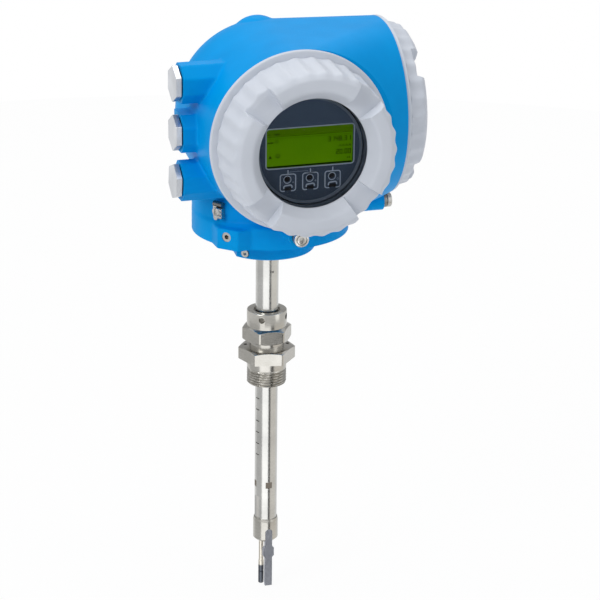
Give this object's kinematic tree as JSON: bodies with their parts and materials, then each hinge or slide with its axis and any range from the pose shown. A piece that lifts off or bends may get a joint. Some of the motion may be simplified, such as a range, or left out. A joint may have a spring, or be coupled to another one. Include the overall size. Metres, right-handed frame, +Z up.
{
  "type": "thermal mass flow meter",
  "caption": "Insertion thermal mass flow meter: turnable two-cover transmitter housing with a display on a steel sensor tube that slides in a threaded compression fitting.",
  "frame": {"origin": "centre of the sealing face under the process fitting's hexagon, on the stem's axis", "axes": "+Z up the stem, -Y out of the display cover, +X out of the blank cover, -X out of the cable entries"},
  "size_m": [0.2083, 0.2102, 0.4997],
  "materials": {
    "steel": "satin",
    "tube_steel": "polished",
    "ferrule": "satin",
    "guard": "matte",
    "pin": "satin",
    "blue_paint": "satin",
    "grey_paint": "satin",
    "screw": "satin",
    "seal": "matte",
    "window": "gloss",
    "dark_metal": "satin",
    "black_plastic": "matte",
    "face_plastic": "satin",
    "lcd": "satin",
    "lens": "gloss",
    "green_plastic": "satin",
    "plug_plastic": "satin"
  },
  "bodies": {
    "fitting": {"process_fitting": "steel"},
    "lower_ferrule": {"front_ferrule": "ferrule"},
    "stem": {"sensor_tube": "tube_steel", "sensor_head": "steel", "guard_bar": "guard", "pin_carrier": "ferrule", "heated_pin": "pin", "reference_pin": "pin", "neck_adapter": "blue_paint", "neck_seal": "seal", "neck_screw": "screw"},
    "transmitter": {"housing": "blue_paint", "ground_clamp": "screw", "front_lock_cam": "screw", "side_lock_cam": "screw", "display_holder": "black_plastic", "terminal_block": "green_plastic", "terminal_screws": "screw", "electronics_module": "black_plastic"},
    "neck_lock": {"neck_lock_screw": "screw"},
    "ground_lug_screw": {"ground_screw": "screw"},
    "front_lock": {"front_lock_screw": "screw"},
    "side_lock": {"side_lock_screw": "screw"},
    "front_seal": {"front_oring": "seal"},
    "display_lid": {"display_cover": "grey_paint", "window_glass": "window", "glass_ring": "dark_metal"},
    "side_seal": {"side_oring": "seal"},
    "side_lid": {"side_cover": "grey_paint"},
    "display": {"display_module": "black_plastic", "display_face": "face_plastic", "lcd_panel": "lcd", "key_lenses": "lens"},
    "upper_seal": {"upper_plug_seal": "seal"},
    "upper_plug_body": {"upper_plug": "plug_plastic"},
    "middle_seal": {"middle_plug_seal": "seal"},
    "middle_plug_body": {"middle_plug": "plug_plastic"},
    "lower_seal": {"lower_plug_seal": "seal"},
    "lower_plug_body": {"lower_plug": "plug_plastic"},
    "upper_ferrule": {"back_ferrule": "ferrule"},
    "nut": {"compression_nut": "steel"}
  },
  "joints": [
    {"name": "stem_turn", "type": "hinge", "parent": "fitting", "child": "lower_ferrule", "pos_m": [0, 0, 0], "axis": [0, 0, 1], "range_deg": [-180, 180]},
    {"name": "stem_slide", "type": "slide", "parent": "lower_ferrule", "child": "stem", "axis": [0, 0, 1], "range_m": [-0.044, 0.12]},
    {"name": "housing_turn", "type": "hinge", "parent": "stem", "child": "transmitter", "pos_m": [0, 0, 0.12], "axis": [0, 0, 1], "range_deg": [-180, 180]},
    {"name": "neck_lock_turn", "type": "hinge", "parent": "transmitter", "child": "neck_lock", "pos_m": [-0.03182, -0.03182, 0.1268], "axis": [-0.7071, -0.7071, 0], "range_deg": [0, 720]},
    {"name": "ground_screw_turn", "type": "hinge", "parent": "transmitter", "child": "ground_lug_screw", "pos_m": [-0.0514, -0.03467, 0.1449], "axis": [-0.829, -0.5592, 0], "range_deg": [0, 720]},
    {"name": "front_lock_turn", "type": "hinge", "parent": "transmitter", "child": "front_lock", "pos_m": [0.0007, -0.085, 0.134], "axis": [0, -1, 0], "range_deg": [0, 720]},
    {"name": "side_lock_turn", "type": "hinge", "parent": "transmitter", "child": "side_lock", "pos_m": [0.0938, -0.01519, 0.13546], "axis": [1, 0, 0], "range_deg": [0, 720]},
    {"name": "display_cover_travel", "type": "slide", "parent": "transmitter", "child": "front_seal", "axis": [0, -1, 0], "range_m": [0, 0.0101]},
    {"name": "display_cover_turn", "type": "hinge", "parent": "front_seal", "child": "display_lid", "pos_m": [0, -0.085, 0.2136], "axis": [0, -1, 0], "range_deg": [0, 1800]},
    {"name": "side_cover_travel", "type": "slide", "parent": "transmitter", "child": "side_seal", "axis": [1, 0, 0], "range_m": [0, 0.0101]},
    {"name": "side_cover_turn", "type": "hinge", "parent": "side_seal", "child": "side_lid", "pos_m": [0.0938, 0, 0.2136], "axis": [1, 0, 0], "range_deg": [0, 1800]},
    {"name": "display_turn", "type": "hinge", "parent": "transmitter", "child": "display", "pos_m": [0, -0.1, 0.2136], "axis": [0, -1, 0], "range_deg": [-180, 180]},
    {"name": "upper_plug_travel", "type": "slide", "parent": "transmitter", "child": "upper_seal", "axis": [-1, 0, 0], "range_m": [0, 0.0106]},
    {"name": "upper_plug_turn", "type": "hinge", "parent": "upper_seal", "child": "upper_plug_body", "pos_m": [-0.085, -0.038, 0.2534], "axis": [-1, 0, 0], "range_deg": [0, 2520]},
    {"name": "middle_plug_travel", "type": "slide", "parent": "transmitter", "child": "middle_seal", "axis": [-1, 0, 0], "range_m": [0, 0.0106]},
    {"name": "middle_plug_turn", "type": "hinge", "parent": "middle_seal", "child": "middle_plug_body", "pos_m": [-0.085, -0.038, 0.2136], "axis": [-1, 0, 0], "range_deg": [0, 2520]},
    {"name": "lower_plug_travel", "type": "slide", "parent": "transmitter", "child": "lower_seal", "axis": [-1, 0, 0], "range_m": [0, 0.0106]},
    {"name": "lower_plug_turn", "type": "hinge", "parent": "lower_seal", "child": "lower_plug_body", "pos_m": [-0.085, -0.038, 0.1738], "axis": [-1, 0, 0], "range_deg": [0, 2520]},
    {"name": "nut_travel", "type": "slide", "parent": "fitting", "child": "upper_ferrule", "axis": [0, 0, 1], "range_m": [0, 0.0106]},
    {"name": "nut_turn", "type": "hinge", "parent": "upper_ferrule", "child": "nut", "pos_m": [0, 0, 0.03], "axis": [0, 0, 1], "range_deg": [0, 2520]}
  ],
  "couplings": [
    {"joint": "display_cover_travel", "follows": "display_cover_turn", "m_per_rad": 0.00031831},
    {"joint": "side_cover_travel", "follows": "side_cover_turn", "m_per_rad": 0.00031831},
    {"joint": "nut_travel", "follows": "nut_turn", "m_per_rad": 0.00023873},
    {"joint": "upper_plug_travel", "follows": "upper_plug_turn", "m_per_rad": 0.00023873},
    {"joint": "middle_plug_travel", "follows": "middle_plug_turn", "m_per_rad": 0.00023873},
    {"joint": "lower_plug_travel", "follows": "lower_plug_turn", "m_per_rad": 0.00023873}
  ]
}
